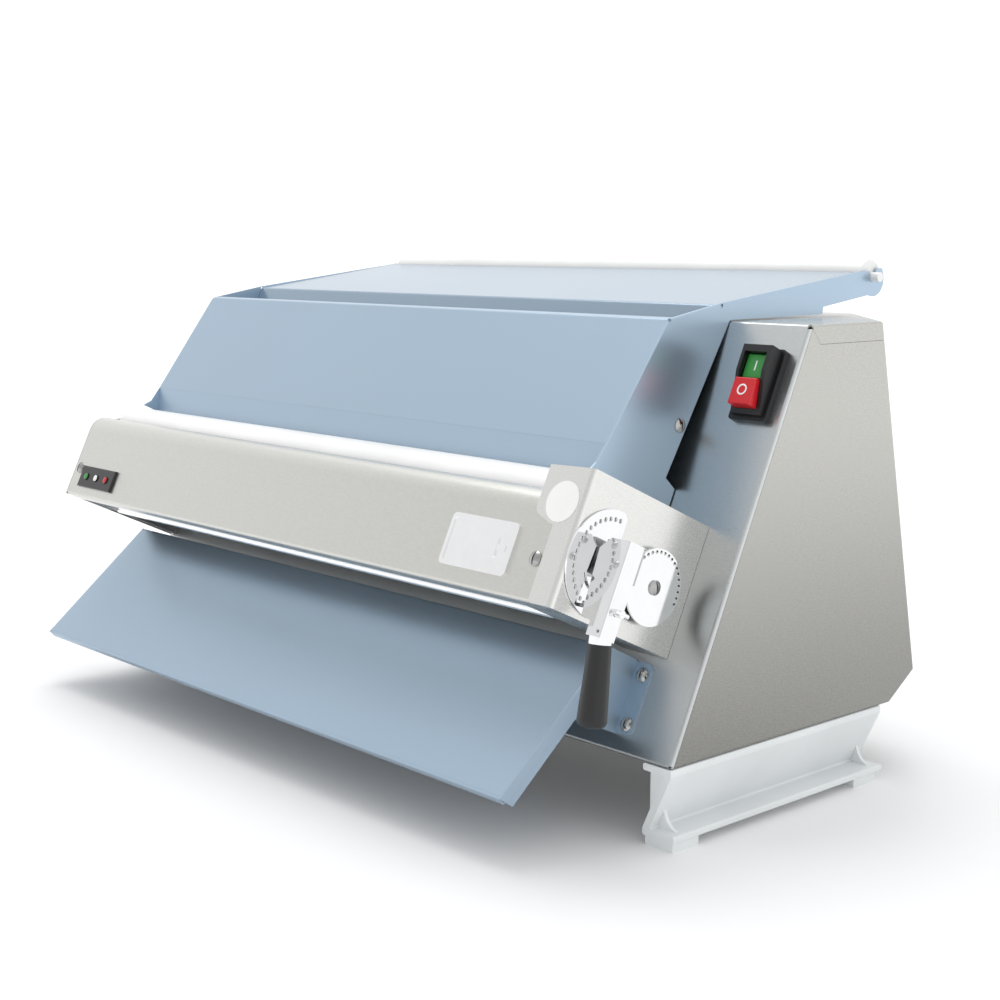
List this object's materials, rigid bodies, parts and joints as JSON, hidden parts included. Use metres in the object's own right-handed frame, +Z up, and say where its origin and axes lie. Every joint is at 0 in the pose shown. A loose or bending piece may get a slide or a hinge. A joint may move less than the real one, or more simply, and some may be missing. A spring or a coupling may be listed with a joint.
{
  "type": "dough sheeter",
  "caption": "Table-top dough sheeter: tapered steel housing on feet, roller pair in a sloping head, gap lever, infeed hopper with tray, outlet chute and switch.",
  "frame": {"origin": "middle of the footprint, on the table under the feet", "axes": "+X to the operator's right, +Y to the back of the machine, +Z up; the operator stands at -Y"},
  "size_m": [0.6966, 0.4294, 0.3927],
  "materials": {
    "housing_steel": "fine brushed stainless",
    "head_steel": "satin stainless",
    "fixing_steel": "polished",
    "foot_plastic": "light grey moulded, semi-gloss",
    "frame_steel": "machined",
    "bright_plate": "bright",
    "badge_black": "gloss resin",
    "cap_white": "satin",
    "polished_steel": "polished",
    "scraper_plastic": "satin",
    "bronze": "machined",
    "motor_grey": "satin",
    "belt_rubber": "matt",
    "black_plastic": "fine texture",
    "blue_sheet": "satin light blue",
    "white_roller": "smooth acetal",
    "gear_nylon": "satin",
    "pulley_alloy": "turned",
    "grip_black": "satin",
    "button_green": "gloss",
    "button_red": "gloss"
  },
  "bodies": {
    "machine": {"base_plate": "housing_steel", "housing_front": "housing_steel", "housing_top": "housing_steel", "housing_side_right": "housing_steel", "housing_side_left": "housing_steel", "rear_cover": "housing_steel", "housing_screws": "fixing_steel", "foot_right": "foot_plastic", "foot_left": "foot_plastic", "head_frame_right": "frame_steel", "head_frame_left": "frame_steel", "head_tie_rods": "frame_steel", "head_end_plate": "head_steel", "head_end_cover": "head_steel", "front_cover": "head_steel", "slotted_screws": "fixing_steel", "name_plate": "bright_plate", "badge": "badge_black", "blank_cap": "cap_white", "guide_plate": "polished_steel", "rear_scraper": "scraper_plastic", "rear_bushes": "bronze", "idler_stud": "frame_steel", "motor": "motor_grey", "gearbox": "motor_grey", "motor_bracket": "frame_steel", "drive_belt": "belt_rubber", "cable_gland": "black_plastic", "index_plate": "polished_steel", "hopper_front": "blue_sheet", "hopper_side_right": "blue_sheet", "hopper_side_left": "blue_sheet", "hopper_tray": "blue_sheet", "outlet_chute": "blue_sheet", "switch_housing": "black_plastic"},
    "front_carriage": {"carriage_right": "frame_steel", "carriage_left": "frame_steel", "front_bushes": "bronze", "front_scraper": "scraper_plastic"},
    "front_roller_set": {"front_roller": "white_roller", "front_shaft": "frame_steel", "front_gear": "gear_nylon"},
    "rear_roller_set": {"rear_roller": "white_roller", "rear_shaft": "frame_steel", "rear_gear": "gear_nylon", "rear_pulley": "pulley_alloy"},
    "idler_gear_rear": {"idler_gear_rear": "gear_nylon"},
    "idler_gear_front": {"idler_gear_front": "gear_nylon"},
    "motor_output": {"motor_pulley": "pulley_alloy"},
    "gap_lever": {"lever": "polished_steel", "lever_hub": "frame_steel", "cam_shaft": "frame_steel", "lever_grip": "grip_black", "grip_ferrule": "polished_steel"},
    "plunger": {"index_plunger": "polished_steel"},
    "limit_disc": {"limit_disc": "polished_steel"},
    "tray_roller": {"tray_roller": "white_roller", "tray_roller_axle": "white_roller"},
    "start_button": {"start_button": "button_green"},
    "stop_button": {"stop_button": "button_red"}
  },
  "joints": [
    {"name": "lever_turn", "type": "hinge", "parent": "machine", "child": "gap_lever", "pos_m": [0.328, -0.14249, 0.19711], "axis": [-1, 0, 0], "range_deg": [0, 169.1]},
    {"name": "gap_slide", "type": "slide", "parent": "machine", "child": "front_carriage", "axis": [0, -0.9036, 0.4283], "range_m": [0, 0.0038]},
    {"name": "front_roller_spin", "type": "hinge", "parent": "front_carriage", "child": "front_roller_set", "pos_m": [0, -0.11984, 0.22622], "axis": [1, 0, 0], "continuous": true},
    {"name": "rear_roller_spin", "type": "hinge", "parent": "machine", "child": "rear_roller_set", "pos_m": [0, -0.07376, 0.20437], "axis": [1, 0, 0], "continuous": true},
    {"name": "idler_gear_rear_spin", "type": "hinge", "parent": "machine", "child": "idler_gear_rear", "pos_m": [0.282, -0.09481, 0.18913], "axis": [1, 0, 0], "continuous": true},
    {"name": "idler_gear_front_spin", "type": "hinge", "parent": "front_carriage", "child": "idler_gear_front", "pos_m": [0.282, -0.11831, 0.20026], "axis": [1, 0, 0], "continuous": true},
    {"name": "motor_spin", "type": "hinge", "parent": "machine", "child": "motor_output", "pos_m": [0.3, 0.07458, 0.1343], "axis": [1, 0, 0], "continuous": true},
    {"name": "plunger_pull", "type": "slide", "parent": "gap_lever", "child": "plunger", "axis": [1, 0, 0], "range_m": [0, 0.003], "stiffness_N_per_m": 600},
    {"name": "limit_disc_turn", "type": "hinge", "parent": "machine", "child": "limit_disc", "pos_m": [0.318, -0.10104, 0.17692], "axis": [1, 0, 0], "continuous": true},
    {"name": "tray_roller_spin", "type": "hinge", "parent": "machine", "child": "tray_roller", "pos_m": [0, 0.20037, 0.3789], "axis": [1, 0, 0], "continuous": true},
    {"name": "start_press", "type": "slide", "parent": "machine", "child": "start_button", "axis": [0, 0.9036, -0.4283], "range_m": [0, 0.003], "stiffness_N_per_m": 500},
    {"name": "stop_press", "type": "slide", "parent": "machine", "child": "stop_button", "axis": [0, 0.9036, -0.4283], "range_m": [0, 0.004], "stiffness_N_per_m": 500}
  ],
  "couplings": [
    {"joint": "lever_turn", "follows": "gap_slide", "rad_per_m": 776.67},
    {"joint": "front_roller_spin", "follows": "rear_roller_spin", "ratio": -1},
    {"joint": "idler_gear_rear_spin", "follows": "rear_roller_spin", "ratio": -1},
    {"joint": "idler_gear_front_spin", "follows": "rear_roller_spin", "ratio": 1},
    {"joint": "motor_spin", "follows": "rear_roller_spin", "ratio": 1.25}
  ]
}
